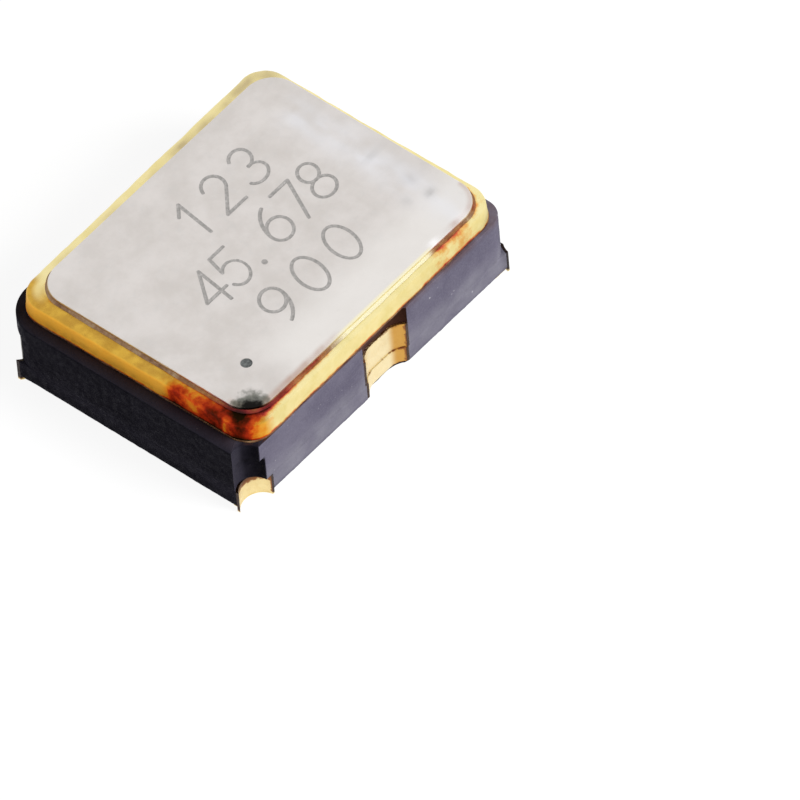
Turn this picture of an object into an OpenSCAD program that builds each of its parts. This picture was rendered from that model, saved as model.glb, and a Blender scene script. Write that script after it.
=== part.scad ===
// Ceramic surface-mount crystal oscillator, 3.2 x 2.5 mm case.
// The origin is the middle of the footprint, on the plane of the solder pads.
// X runs along the long side, Z points out of the lid. All sizes are in millimetres.

/* [Ceramic case] */
// Length of the case along X
body_l = 3.2; // [3.1:0.05:3.6]
// Width of the case along Y
body_w = 2.5; // [2.4:0.05:2.9]
// Thickness of the base layer under the chip
base_t = 0.20; // [0.14:0.01:0.30]
// Thickness of the layer that carries the bond fingers
shelf_t = 0.12; // [0.09:0.01:0.16]
// Thickness of the layer that carries the crystal
ledge_t = 0.15; // [0.10:0.01:0.20]
// Thickness of the frame layer at the top
frame_t = 0.17; // [0.14:0.01:0.30]
// Width of the ceramic wall around the cavity
wall = 0.40; // [0.34:0.01:0.44]
// Radius of the cavity's upright corners
cavity_r = 0.12; // [0.05:0.01:0.20]
// Radius of the pocket's upright corners
pocket_r = 0.06; // [0.03:0.01:0.10]
// Radius of the upright corner above the base layer at pin 2
upper_r_2 = 0.19; // [0.15:0.01:0.22]
// Radius of the upright corner above the base layer at pin 3
upper_r_3 = 0.24; // [0.15:0.01:0.30]
// Radius of the upright corner above the base layer at pin 4
upper_r_4 = 0.34; // [0.24:0.01:0.36]
// Bevel that the scored snap line leaves along the lower edges
score_bevel = 0.03; // [0.01:0.005:0.05]
// Length of the ledge that holds the crystal at the -X end
ledge_l = 0.36; // [0.34:0.01:0.40]

/* [Castellations] */
// Radius of the plated hole that is shared at each corner
corner_r = 0.19; // [0.14:0.01:0.22]
// Radius of the bare hollow above the plating at the marked corner
hollow_r = 0.15; // [0.12:0.01:0.16]
// Distance that this hollow lies off the snapped corner, along X
hollow_dx = 0.09; // [0.06:0.01:0.11]
// Radius of the hollow where it crosses the frame layer
frame_hollow_r = 0.13; // [0.10:0.01:0.14]
// Distance that it lies off the snapped corner there, along X
frame_hollow_dx = 0.05; // [0.02:0.01:0.08]
// Radius of the round ends of the side slots
slot_r = 0.20; // [0.16:0.01:0.24]
// Spacing of the two end circles of a side slot
slot_flat = 0.18; // [0.10:0.01:0.30]
// Depth of a side slot in the wall
slot_depth = 0.115; // [0.08:0.005:0.14]
// Distance that the side slots lie off the middle, along X
slot_dx = 0.10; // [0.00:0.01:0.12]
// Step by which a side slot is wider above the base layer
slot_step = 0.01; // [0.005:0.001:0.015]
// Distance that the corner holes lie off the snapped outline, along X
hole_dx = 0.13; // [0.00:0.01:0.15]
// Distance that the front holes lie off the snapped outline, along Y
front_dy = -0.03; // [-0.05:0.01:0.05]
// Distance that the back holes lie off the snapped outline, along Y
back_dy = -0.04; // [-0.05:0.01:0.05]
// Thickness of the plating in the holes
lining_t = 0.02; // [0.015:0.005:0.03]
// Plain ceramic left under the plating of a side slot
slot_gap = 0.04; // [0.02:0.01:0.08]

/* [Solder pads] */
// Length of a solder pad along X
pad_l = 0.90; // [0.70:0.05:1.00]
// Width of a solder pad along Y
pad_w = 0.70; // [0.60:0.05:0.80]
// Thickness of a solder pad
pad_t = 0.02; // [0.015:0.005:0.04]
// Distance from the edge of the case to a pad
pad_inset = 0.09; // [0.06:0.01:0.14]
// Width of the neck from a pad to its corner
neck_w = 0.20; // [0.14:0.01:0.26]
// Chamfer that marks pad 1
pad_chamfer = 0.28; // [0.15:0.01:0.40]

/* [Seal ring and lid] */
// Height of the metal seal ring
ring_t = 0.16; // [0.10:0.01:0.25]
// Width of the bar of the seal ring
ring_bar = 0.24; // [0.20:0.01:0.26]
// Distance from the end of the case to the ring
ring_end = 0.10; // [0.08:0.01:0.12]
// Distance from the side of the case to the ring
ring_side = 0.05; // [0.04:0.01:0.08]
// Radius of the ring's outer corners
ring_r = 0.22; // [0.20:0.01:0.38]
// Radius of the ring's inner corners
ring_in_r = 0.14; // [0.08:0.01:0.20]
// Radius along the ring's upper outer edge
ring_edge = 0.025; // [0.01:0.005:0.04]
// Distance that the ring sits off the middle of the case, along X
ring_dx = 0.03; // [-0.03:0.01:0.03]
// Distance that the ring sits off the middle of the case, along Y
ring_dy = -0.02; // [-0.02:0.005:0.02]
// Angle that the ring sits turned on the case, in degrees
ring_turn = 0.6; // [-0.6:0.1:0.6]
// Thickness of the braze under the ring
braze_t = 0.02; // [0.015:0.005:0.04]
// Width of braze that shows around the ring
braze_rim = 0.015; // [0.005:0.005:0.03]
// Thickness of the lid
lid_t = 0.06; // [0.04:0.01:0.10]
// Distance from the edge of the ring to the lid
lid_inset = 0.09; // [0.05:0.01:0.11]
// Radius of the lid's corners
lid_r = 0.25; // [0.15:0.01:0.35]
// Radius along the lid's upper edge
lid_edge = 0.025; // [0.01:0.005:0.035]
// Distance that the lid sits off the ring, along X
lid_dx = 0.03; // [-0.04:0.01:0.04]
// Distance that the lid sits off the ring, along Y
lid_dy = -0.02; // [-0.02:0.01:0.02]

/* [Chip] */
// Length of the oscillator chip
chip_l = 1.00; // [0.80:0.02:1.10]
// Width of the oscillator chip
chip_w = 0.76; // [0.66:0.02:0.84]
// Thickness of the oscillator chip
chip_t = 0.10; // [0.08:0.01:0.12]
// Thickness of the adhesive under the chip
attach_t = 0.02; // [0.01:0.005:0.03]
// Clearance between the chip and the wall of its pocket
chip_gap = 0.12; // [0.09:0.01:0.15]
// Thickness of the printed gold inside the cavity
film_t = 0.015; // [0.01:0.005:0.02]
// Distance that the printed pad under the chip shows around it
die_rim = 0.05; // [0.02:0.01:0.08]

/* [Bond wires] */
// Diameter of a bond wire
wire_d = 0.025; // [0.018:0.001:0.03]
// Spacing of the bond wires along X
wire_pitch = 0.32; // [0.24:0.01:0.36]
// Height of a wire above its higher end
wire_rise = 0.055; // [0.05:0.005:0.065]
// Radius of the bends in a wire
wire_bend = 0.03; // [0.02:0.005:0.035]
// Diameter of the ball at the chip's end of a wire
ball_d = 0.07; // [0.05:0.005:0.08]
// Height of the ball at the chip's end of a wire
ball_t = 0.012; // [0.01:0.002:0.015]
// Distance from the chip's edge to a wire's ball
ball_inset = 0.08; // [0.06:0.01:0.12]
// Width of a bond finger
finger_w = 0.12; // [0.08:0.01:0.16]
// Clearance at both ends of a bond finger
finger_gap = 0.03; // [0.02:0.01:0.05]
// Distance from a finger's near end to its wire
stitch_inset = 0.07; // [0.05:0.01:0.10]

/* [Crystal] */
// Length of the quartz blank
blank_l = 1.96; // [1.70:0.02:2.10]
// Width of the quartz blank
blank_w = 1.24; // [1.16:0.02:1.36]
// Thickness of the quartz blank
blank_t = 0.05; // [0.03:0.01:0.08]
// Clearance between the mounted end of the blank and the cavity wall
blank_gap = 0.07; // [0.04:0.01:0.08]
// Thickness of the metal film on the blank
electrode_t = 0.01; // [0.008:0.001:0.015]
// Distance from the blank's long edges to an electrode
electrode_side = 0.20; // [0.12:0.01:0.26]
// Distance from the blank's free end to an electrode
electrode_end = 0.34; // [0.20:0.01:0.45]
// Length of an electrode along X
electrode_l = 1.15; // [1.00:0.01:1.20]
// Width of the tab from an electrode to its adhesive dot
tab_w = 0.22; // [0.18:0.01:0.26]
// Diameter of an adhesive dot
dot_d = 0.20; // [0.16:0.01:0.24]
// Thickness of an adhesive dot
dot_t = 0.03; // [0.02:0.01:0.05]
// Spacing of the two adhesive dots along Y
dot_pitch = 0.92; // [0.84:0.02:0.98]
// Length and width of a printed crystal pad
mount_pad = 0.27; // [0.25:0.01:0.29]

/* [Hidden] */
// Facets of a full circle, and a small overlap that keeps cuts clean
$fn = 48;
eps = 0.05;

// Levels, from the solder plane up
z_base = pad_t;
z_floor = z_base + base_t;
z_shelf = z_floor + shelf_t;
z_ledge = z_shelf + ledge_t;
z_top = z_ledge + frame_t;
z_ring = z_top + braze_t;
z_lid = z_ring + ring_t;
z_die = z_floor + film_t;
z_chip = z_die + attach_t;
z_chip_top = z_chip + chip_t;
z_finger_top = z_shelf + film_t;
z_mount_top = z_ledge + film_t;
z_blank = z_mount_top + dot_t + electrode_t;

// Cavity and chip pocket
cavity_l = body_l - 2 * wall;
cavity_w = body_w - 2 * wall;
ledge_x = -cavity_l / 2 + ledge_l;
well_l = cavity_l / 2 - ledge_x;
chip_x = (ledge_x + cavity_l / 2) / 2;
pocket_l = chip_l + 2 * chip_gap;
pocket_w = chip_w + 2 * chip_gap;

// Seal ring and lid outlines
ring_l = body_l - 2 * ring_end;
ring_w = body_w - 2 * ring_side;
lid_l = ring_l - 2 * lid_inset;
lid_w = ring_w - 2 * lid_inset;

// How high the plating climbs in each corner hole: pin 4 climbs to the ledge layer
corner_plate = [z_floor, z_floor, z_floor, z_ledge];
// Upright corner radius above the base layer at each pin: the marked corner stays square
upper_r = [0, upper_r_2, upper_r_3, upper_r_4];
// Corner of each pin, as signs of X and Y, counted from the marked corner
pin_side = [[-1, -1], [1, -1], [1, 1], [-1, 1]];

// Bond fingers and wires
finger_y0 = pocket_w / 2 + finger_gap;
finger_l = cavity_w / 2 - finger_gap - finger_y0;
ball_y = chip_w / 2 - ball_inset;
stitch_y = finger_y0 + stitch_inset;
wire_r = wire_d / 2;
wire_top = max(z_chip_top, z_finger_top) + wire_rise;

// Crystal
blank_x0 = -cavity_l / 2 + blank_gap;
blank_x1 = blank_x0 + blank_l;
electrode_x1 = blank_x1 - electrode_end;
electrode_x0 = electrode_x1 - electrode_l;
electrode_w = blank_w - 2 * electrode_side;
dot_x = (ledge_x - cavity_l / 2) / 2;

// A rectangle about the origin with round corners
module round_rect(l, w, r) {
    square([l - 2 * r, w], center = true);
    square([l, w - 2 * r], center = true);
    for (sx = [-1, 1], sy = [-1, 1])
        translate([sx * (l / 2 - r), sy * (w / 2 - r)]) circle(r);
}

// The edge section of a plate: r wide, t high, with its upper outer edge rounded by e
module edge_section(r, t, e) {
    square([r, t - e]);
    square([r - e, t]);
    translate([r - e, t - e]) circle(e);
}

// A flat plate with round upright corners and a rounded upper edge
module round_plate(l, w, t, r, e) {
    in_l = l - 2 * r;
    in_w = w - 2 * r;
    translate([-in_l / 2, -in_w / 2, 0]) cube([in_l, in_w, t]);
    for (side = [0, 1], turn = [0, 1]) {
        long = side == 0 ? in_l : in_w;
        across = side == 0 ? in_w : in_l;
        rotate([0, 0, 90 * side + 180 * turn])
            translate([-long / 2, across / 2, 0])
                rotate([90, 0, 90]) linear_extrude(long) edge_section(r, t, e);
    }
    for (k = [0 : 3]) {
        sx = (k == 0 || k == 3) ? 1 : -1;
        sy = k < 2 ? 1 : -1;
        translate([sx * in_l / 2, sy * in_w / 2, 0])
            rotate([0, 0, 90 * k]) rotate_extrude(angle = 90) edge_section(r, t, e);
    }
}

// What the round upright corner of one pin leaves off a square corner
module corner_waste(pin) {
    r = upper_r[pin];
    s = pin_side[pin];
    mirror([s[0] < 0 ? 1 : 0, 0]) mirror([0, s[1] < 0 ? 1 : 0])
        translate([body_l / 2 - r, body_w / 2 - r]) difference() {
            square(r + eps);
            circle(r);
        }
}

// The outline of the layers above the base: round but for the marked corner
module upper_outline() {
    difference() {
        square([body_l, body_w], center = true);
        for (pin = [1 : 3]) corner_waste(pin);
    }
}

// The outline of a side slot with round ends of radius r
module slot_outline(r) {
    for (s = [-1, 1]) translate([s * slot_flat / 2, 0]) circle(r);
    square([slot_flat, 2 * r], center = true);
}

// How far the holes of the front (-1) or back (+1) row lie off the outline
function row_dy(side) = side < 0 ? front_dy : back_dy;

// Places a side slot at the front (-1) or back (+1) wall
module at_slot(side) {
    translate([slot_dx, side * (body_w / 2 + slot_r - slot_depth) + row_dy(side)]) children();
}

// Places a corner hole
module at_corner(pin) {
    s = pin_side[pin];
    translate([s[0] * body_l / 2 + hole_dx, s[1] * body_w / 2 + row_dy(s[1])]) children();
}

// A groove along one lower edge of the case
module score(length) {
    rotate([45, 0, 0]) cube([length, score_bevel * sqrt(2), score_bevel * sqrt(2)], center = true);
}

// Co-fired ceramic case: four layers, a stepped cavity, open holes at the corners and sides
module ceramic_body() {
    color([0.17, 0.16, 0.22])
    difference() {
        union() {
            translate([-body_l / 2, -body_w / 2, z_base]) cube([body_l, body_w, base_t]);
            translate([0, 0, z_floor]) linear_extrude(z_top - z_floor) upper_outline();
        }
        for (pin = [0 : 3])
            at_corner(pin) translate([0, 0, z_base - eps])
                cylinder(r = corner_r, h = corner_plate[pin] - z_base + eps);
        // bare hollow that runs on up the marked corner
        translate([hollow_dx - body_l / 2, -body_w / 2, z_floor])
            cylinder(r = hollow_r, h = z_ledge - z_floor);
        translate([frame_hollow_dx - body_l / 2, -body_w / 2, z_ledge])
            cylinder(r = frame_hollow_r, h = frame_t + eps);
        for (side = [-1, 1]) {
            at_slot(side) translate([0, 0, z_base - eps])
                linear_extrude(base_t + 2 * eps) slot_outline(slot_r);
            at_slot(side) translate([0, 0, z_floor])
                linear_extrude(z_top - z_floor + eps) slot_outline(slot_r + slot_step);
        }
        // frame opening over the crystal
        translate([0, 0, z_ledge]) linear_extrude(frame_t + eps)
            round_rect(cavity_l, cavity_w, cavity_r);
        // well beside the crystal ledge, down to the bond shelf
        translate([chip_x, 0, z_shelf]) linear_extrude(ledge_t + eps)
            round_rect(well_l, cavity_w, cavity_r);
        // pocket for the chip
        translate([chip_x, 0, z_floor]) linear_extrude(shelf_t + eps)
            round_rect(pocket_l, pocket_w, pocket_r);
        for (side = [-1, 1]) {
            translate([0, side * body_w / 2, z_base]) score(body_l + eps);
            translate([side * body_l / 2, 0, z_base]) rotate([0, 0, 90]) score(body_w + eps);
        }
    }
}

// Places the ring's outline where the ring sits on the case
module at_ring() {
    translate([ring_dx, ring_dy]) rotate(ring_turn) children();
}

// The opening inside the ring
module ring_window() {
    round_rect(ring_l - 2 * ring_bar, ring_w - 2 * ring_bar, ring_in_r);
}

// Braze fillet that joins the ring to the metallised ceramic, and ends at the ceramic's edge
module ring_braze() {
    color([0.70, 0.55, 0.25])
    translate([0, 0, z_top]) linear_extrude(braze_t) intersection() {
        at_ring() difference() {
            round_rect(ring_l + 2 * braze_rim, ring_w + 2 * braze_rim, ring_r + braze_rim);
            ring_window();
        }
        upper_outline();
    }
}

// Gold-plated seal ring
module seal_ring() {
    color([0.86, 0.68, 0.30])
    translate([0, 0, z_ring]) at_ring() difference() {
        round_plate(ring_l, ring_w, ring_t, ring_r, ring_edge);
        translate([0, 0, -eps]) linear_extrude(ring_t + 2 * eps) ring_window();
    }
}

// Nickel-plated lid, seam welded to the ring
module lid() {
    color([0.86, 0.85, 0.83])
    translate([ring_dx + lid_dx, ring_dy + lid_dy, z_lid])
        round_plate(lid_l, lid_w, lid_t, lid_r, lid_edge);
}

// The flat of one solder pad with the neck that runs out to its corner
module pad_flat(pin) {
    s = pin_side[pin];
    mirror([s[0] > 0 ? 1 : 0, 0]) mirror([0, s[1] > 0 ? 1 : 0]) {
        difference() {
            translate([-body_l / 2 + pad_inset, -body_w / 2 + pad_inset]) square([pad_l, pad_w]);
            if (pin == 0)
                translate([-body_l / 2 + pad_inset + pad_l, -body_w / 2 + pad_inset + pad_w])
                    rotate(45) square(pad_chamfer * sqrt(2), center = true);
        }
        translate([-body_l / 2 + pad_inset, -body_w / 2 + pad_inset])
            rotate(45) square([2 * (pad_inset + neck_w), neck_w], center = true);
    }
}

// The ring of plating in a corner hole
module corner_lining(pin) {
    at_corner(pin) difference() {
        circle(corner_r);
        circle(corner_r - lining_t);
    }
}

// Solder pad, neck and the plating of its corner hole, as one plated piece
module terminal(pin) {
    color([0.88, 0.72, 0.34]) {
        linear_extrude(pad_t) difference() {
            intersection() {
                pad_flat(pin);
                square([body_l - 2 * score_bevel, body_w - 2 * score_bevel], center = true);
            }
            at_corner(pin) circle(corner_r - lining_t);
        }
        linear_extrude(z_floor) intersection() {
            corner_lining(pin);
            square([body_l, body_w], center = true);
        }
        if (corner_plate[pin] > z_floor)
            linear_extrude(corner_plate[pin]) intersection() {
                corner_lining(pin);
                upper_outline();
            }
    }
}

// One band of side plating from z0 to z1, in a slot whose ends have radius r
module slot_band(side, z0, z1, r) {
    translate([0, 0, z0]) linear_extrude(z1 - z0) intersection() {
        at_slot(side) difference() {
            slot_outline(r);
            slot_outline(r - lining_t);
        }
        square([body_l, body_w], center = true);
    }
}

// Plating of a side slot, up to the underside of the frame layer
module side_contact(side) {
    color([0.88, 0.72, 0.34]) {
        slot_band(side, z_base + slot_gap, z_floor, slot_r);
        slot_band(side, z_floor, z_ledge, slot_r + slot_step);
    }
}

// Printed gold pad under the chip
module die_pad() {
    color([0.88, 0.72, 0.34])
    translate([chip_x, 0, z_floor + film_t / 2])
        cube([chip_l + 2 * die_rim, chip_w + 2 * die_rim, film_t], center = true);
}

// Silver-filled adhesive under the chip
module die_attach() {
    color([0.62, 0.62, 0.60])
    translate([chip_x, 0, z_die + attach_t / 2]) cube([chip_l, chip_w, attach_t], center = true);
}

// Silicon chip that drives the crystal
module oscillator_chip() {
    color([0.30, 0.32, 0.38])
    translate([chip_x, 0, z_chip + chip_t / 2]) cube([chip_l, chip_w, chip_t], center = true);
}

// Places bond k: three along the front of the chip, then three along its back
module at_bond(k) {
    side = k < 3 ? 0 : 1;
    translate([chip_x + (k % 3 - 1) * wire_pitch, 0, 0]) mirror([0, side, 0]) children();
}

// Printed gold finger on the bond shelf
module bond_finger(k) {
    color([0.88, 0.72, 0.34])
    at_bond(k) translate([-finger_w / 2, -finger_y0 - finger_l, z_shelf])
        cube([finger_w, finger_l, film_t]);
}

// Gold wire from the chip to its finger: ball, riser, bend, run, bend and drop
module bond_wire(k) {
    z_bend = wire_top - wire_bend;
    color([0.90, 0.74, 0.32])
    at_bond(k) {
        translate([0, -ball_y, z_chip_top]) cylinder(d = ball_d, h = ball_t);
        translate([0, -ball_y, z_chip_top]) cylinder(r = wire_r, h = z_bend - z_chip_top);
        translate([0, -stitch_y, z_finger_top]) cylinder(r = wire_r, h = z_bend - z_finger_top);
        translate([0, -ball_y - wire_bend, wire_top]) rotate([90, 0, 0])
            cylinder(r = wire_r, h = stitch_y - ball_y - 2 * wire_bend);
        translate([0, -ball_y - wire_bend, z_bend]) rotate([90, 0, 90])
            rotate_extrude(angle = 90) translate([wire_bend, 0]) circle(wire_r);
        translate([0, -stitch_y + wire_bend, z_bend]) rotate([90, 0, 90]) rotate([0, 0, 90])
            rotate_extrude(angle = 90) translate([wire_bend, 0]) circle(wire_r);
    }
}

// Printed gold pad on the crystal ledge, at the front (-1) or back (+1)
module crystal_pad(side) {
    color([0.88, 0.72, 0.34])
    translate([dot_x, side * dot_pitch / 2, z_ledge + film_t / 2])
        cube([mount_pad, mount_pad, film_t], center = true);
}

// Conductive adhesive that carries the crystal
module adhesive_dot(side) {
    color([0.66, 0.66, 0.64])
    translate([dot_x, side * dot_pitch / 2, z_mount_top]) cylinder(d = dot_d, h = dot_t);
}

// One electrode film: the active area and a tab that runs from tab_x to it
module electrode_flat(side, tab_x) {
    translate([electrode_x0, -electrode_w / 2]) square([electrode_l, electrode_w]);
    translate([tab_x, side * dot_pitch / 2 - tab_w / 2])
        square([electrode_x0 + tab_w - tab_x, tab_w]);
}

// Film on the underside, which rests on the front dot
module electrode_bottom() {
    color([0.80, 0.80, 0.78])
    translate([0, 0, z_blank - electrode_t]) linear_extrude(electrode_t)
        electrode_flat(-1, blank_x0);
}

// Quartz blank
module quartz_blank() {
    color([0.80, 0.86, 0.90])
    translate([blank_x0, -blank_w / 2, z_blank]) cube([blank_l, blank_w, blank_t]);
}

// Film on the top, which wraps round the end of the blank to the back dot
module electrode_top() {
    wrap_x = blank_x0 - electrode_t;
    color([0.80, 0.80, 0.78]) {
        translate([0, 0, z_blank + blank_t]) linear_extrude(electrode_t)
            electrode_flat(1, wrap_x);
        translate([wrap_x, dot_pitch / 2 - tab_w / 2, z_blank - electrode_t]) {
            cube([electrode_t, tab_w, blank_t + 2 * electrode_t]);
            cube([dot_x + dot_d / 2 - wrap_x, tab_w, electrode_t]);
        }
    }
}

ceramic_body();
ring_braze();
seal_ring();
lid();
terminal(0);  // terminal_1
terminal(1);  // terminal_2
terminal(2);  // terminal_3
terminal(3);  // terminal_4
side_contact(-1);  // side_contact_front
side_contact(1);  // side_contact_back
die_pad();
die_attach();
oscillator_chip();
bond_finger(0);  // bond_finger_1
bond_finger(1);  // bond_finger_2
bond_finger(2);  // bond_finger_3
bond_finger(3);  // bond_finger_4
bond_finger(4);  // bond_finger_5
bond_finger(5);  // bond_finger_6
bond_wire(0);  // bond_wire_1
bond_wire(1);  // bond_wire_2
bond_wire(2);  // bond_wire_3
bond_wire(3);  // bond_wire_4
bond_wire(4);  // bond_wire_5
bond_wire(5);  // bond_wire_6
crystal_pad(-1);  // crystal_pad_1
crystal_pad(1);  // crystal_pad_2
adhesive_dot(-1);  // adhesive_dot_1
adhesive_dot(1);  // adhesive_dot_2
electrode_bottom();
quartz_blank();
electrode_top();
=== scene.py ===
"""Looks of a 3.2 x 2.5 mm ceramic crystal oscillator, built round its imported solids.

Shapes are worked out in millimetres and scaled to metres when a mesh is made.
Z = 0 is the plane of the solder pads, and the marked corner is at (-X, -Y).
"""
import math

import bmesh
import bpy
from mathutils import Matrix, Vector, noise


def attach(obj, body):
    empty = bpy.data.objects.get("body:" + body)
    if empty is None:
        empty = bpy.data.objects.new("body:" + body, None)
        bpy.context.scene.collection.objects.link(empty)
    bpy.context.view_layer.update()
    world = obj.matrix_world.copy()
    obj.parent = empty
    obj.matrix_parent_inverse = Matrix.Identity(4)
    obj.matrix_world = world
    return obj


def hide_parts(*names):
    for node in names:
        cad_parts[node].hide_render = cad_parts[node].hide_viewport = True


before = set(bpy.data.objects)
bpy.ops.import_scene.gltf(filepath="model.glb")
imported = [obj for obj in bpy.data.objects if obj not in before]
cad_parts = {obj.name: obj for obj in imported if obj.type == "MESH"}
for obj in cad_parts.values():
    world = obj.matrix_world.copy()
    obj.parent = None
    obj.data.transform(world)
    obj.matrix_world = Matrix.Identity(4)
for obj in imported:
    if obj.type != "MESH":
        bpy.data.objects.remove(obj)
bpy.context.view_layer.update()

MM = 0.001

# ---------------------------------------------------------------- sizes, in mm

HALF_L, HALF_W = 1.6, 1.25                  # half sizes of the case
Z_BASE, Z_FLOOR, Z_SHELF = 0.02, 0.22, 0.34  # levels of the ceramic layers
Z_LEDGE, Z_TOP = 0.49, 0.66
Z_RING, Z_LID, Z_LID_TOP = 0.68, 0.84, 0.90
Z_UNDER = Z_BASE + 0.001  # points below this belong to the underside
END_X = -HALF_L + 0.05    # and the case's points left of this to the end wall that faces -X

UPPER_R = {(1, -1): 0.19, (1, 1): 0.24, (-1, 1): 0.34}  # upright corners above the base layer
SCORE = 0.03              # bevel left by the snap line
CORNER_R = 0.19           # plated corner holes
HOLE_DX, HOLE_DY = 0.13, {-1: -0.03, 1: -0.04}  # how far they lie off the snapped corners
CORNER_REACH = 0.36       # how far a corner's curve runs along its two walls
CURVE_POINTS = 240        # points of that curve before a hole is cut out of it
LINING = 0.02             # thickness of the plating in holes and slots
SLOT_X, SLOT_HALF_FLAT = 0.10, 0.09  # middle of the side slots, and half their flat part
SLOT_R, SLOT_STEP = 0.20, 0.01       # radius of their ends, and how much it grows higher up
SLOT_Y = {-1: -1.365, 1: 1.295}      # where the ends are centred, by side
PLATING_Z0 = 0.06         # foot of the side plating
HOLLOW = (-1.51, -1.25, 0.15)        # bare hollow over pin 1: x, y, radius
FRAME_HOLLOW = (-1.55, -1.25, 0.13)  # the same in the frame layer
CAVITY = (0.0, 0.0, 2.40, 1.70, 0.12)   # middle x, y, length, width, corner radius
WELL = (0.18, 0.0, 2.04, 1.70, 0.12)
POCKET = (0.18, 0.0, 1.24, 1.00, 0.06)

RING = (0.03, -0.02, 3.00, 2.40, 0.22)  # given like the cavity
RING_OPENING = (0.03, -0.02, 2.52, 1.92, 0.14)
RING_TURN = 0.6           # degrees that the ring sits turned on the case
RING_EDGE = 0.025         # radius of its rounded upper edge
BRAZE_RIM = 0.015         # how far the braze creeps out past it
LID = (0.06, -0.04, 2.82, 2.22, 0.25)
LID_EDGE = 0.025          # radius of its rounded upper edge

PAD_L, PAD_W, PAD_INSET, NECK_W, PAD_CHAMFER = 0.90, 0.70, 0.09, 0.20, 0.28
PAD_X, PAD_Y = HALF_L - PAD_INSET, HALF_W - PAD_INSET  # a pad's outer corner
PAD_POINTS, SLOT_POINTS = 220, 72         # round a pad, and along a slot's plating
CORNERS = ((-1, -1), (1, -1), (1, 1), (-1, 1))  # signs of x and y, from pin 1 to pin 4

# ------------------------------------------------------------- small 2D kit


def wobble(x, y, z=0.0, scale=1.0, seed=0.0):
    """Smooth noise from -1 to 1 at a place in mm; scale is the size of a lump in mm."""
    return noise.noise(Vector((x / scale + seed, y / scale - seed, z / scale + 2 * seed)))


def fractal(x, y, z=0.0, scale=1.0, seed=0.0, octaves=3):
    """Sum of finer and finer noise, about -1 to 1."""
    total, gain = 0.0, 0.5
    for k in range(octaves):
        total += gain * wobble(x, y, z, scale / 2 ** k, seed + 7.3 * k)
        gain *= 0.5
    return total * 2


def bell(value, middle, reach):
    """1 in the middle, and fading softly over the reach to both sides."""
    return math.exp(-((value - middle) / reach) ** 2)


def spot_level(spots, x, y):
    """Sum of soft spots at a place: x, y, reach along x, reach along y, strength."""
    return sum(strength * bell(x, cx, rx) * bell(y, cy, ry)
               for cx, cy, rx, ry, strength in spots)


def clamped(value):
    return max(0.0, min(1.0, value))


def smoothstep(low, high, value):
    t = clamped((value - low) / (high - low))
    return t * t * (3 - 2 * t)


def resample(points, count, closed=False):
    """The given number of points, evenly spaced along a polyline. An open one keeps its ends."""
    line = list(points) + ([points[0]] if closed else [])
    reach = [0.0]
    for a, b in zip(line, line[1:]):
        reach.append(reach[-1] + math.dist(a, b))
    steps = count if closed else count - 1
    out, k = [], 0
    for i in range(count):
        want = reach[-1] * i / steps
        while k < len(line) - 2 and reach[k + 1] < want:
            k += 1
        span = reach[k + 1] - reach[k]
        t = (want - reach[k]) / span if span > 0 else 0.0
        out.append(tuple(a + (b - a) * t for a, b in zip(line[k], line[k + 1])))
    return out


def arc(cx, cy, r, start, end, count=48):
    """Points on a circle between two angles in degrees."""
    turn = [math.radians(start + (end - start) * i / (count - 1)) for i in range(count)]
    return [(cx + r * math.cos(a), cy + r * math.sin(a)) for a in turn]


def circle(cx, cy, r, count=96):
    return arc(cx, cy, r, 0, 360, count + 1)[:-1]


def angle_of(centre, point):
    return math.degrees(math.atan2(point[1] - centre[1], point[0] - centre[0]))


def rounded_loop(shape, per_corner=24, per_side=60):
    """A rounded rectangle, counter-clockwise, with the same point count whatever its size."""
    cx, cy, length, width, r = shape
    middles = [(cx + sx * (length / 2 - r), cy + sy * (width / 2 - r)) for sx, sy in CORNERS]
    loop = []
    for k, start in enumerate((180, 270, 0, 90)):
        loop += arc(*middles[k], r, start, start + 90, per_corner)
        follow = arc(*middles[(k + 1) % 4], r, start + 90, start + 91, 2)[0]
        loop += resample([loop[-1], follow], per_side + 2)[1:-1]
    return loop


def grown(shape, by):
    """A rounded rectangle that is larger by the same distance all round."""
    cx, cy, length, width, r = shape
    return (cx, cy, length + 2 * by, width + 2 * by, max(0.01, r + by))


def depth_inside(shape, x, y):
    """Distance from a place to the edge of a rounded rectangle, positive inside."""
    cx, cy, length, width, r = shape
    dx = abs(x - cx) - (length / 2 - r)
    dy = abs(y - cy) - (width / 2 - r)
    outside = math.hypot(max(dx, 0.0), max(dy, 0.0))
    return r - outside - min(max(dx, dy), 0.0)


def turned(points, degrees):
    """Points turned about the middle of the ring."""
    cx, cy = RING[:2]
    c, s = math.cos(math.radians(degrees)), math.sin(math.radians(degrees))
    return [(cx + c * (x - cx) - s * (y - cy), cy + s * (x - cx) + c * (y - cy))
            for x, y in points]


def ring_loop(shape):
    """A rounded rectangle on the ring's own axes."""
    return turned(rounded_loop(shape), RING_TURN)


def ring_depth(x, y):
    """Distance from a place to the ring's outer edge, positive inside."""
    return depth_inside(RING, *turned([(x, y)], -RING_TURN)[0])


def loop_normals(loop):
    """Outward unit normal at each point of a counter-clockwise loop."""
    out = []
    for i in range(len(loop)):
        (ax, ay), (bx, by) = loop[i - 1], loop[(i + 1) % len(loop)]
        size = math.hypot(bx - ax, by - ay) or 1.0
        out.append(((by - ay) / size, (ax - bx) / size))
    return out


def roughened(loop, z, rough, seed, lump=0.16, level=0.0, off=0.0):
    """A loop at height z, its points pushed in and out by noise, and inward by off.

    level is the height at which the noise is taken.
    """
    row = []
    for (x, y), (nx, ny) in zip(loop, loop_normals(loop)):
        push = rough * fractal(x, y, level, lump, seed=seed) - 0.5 * rough - off
        row.append((x + nx * push, y + ny * push, z))
    return row


# ------------------------------------------------------------- mesh kit

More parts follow.
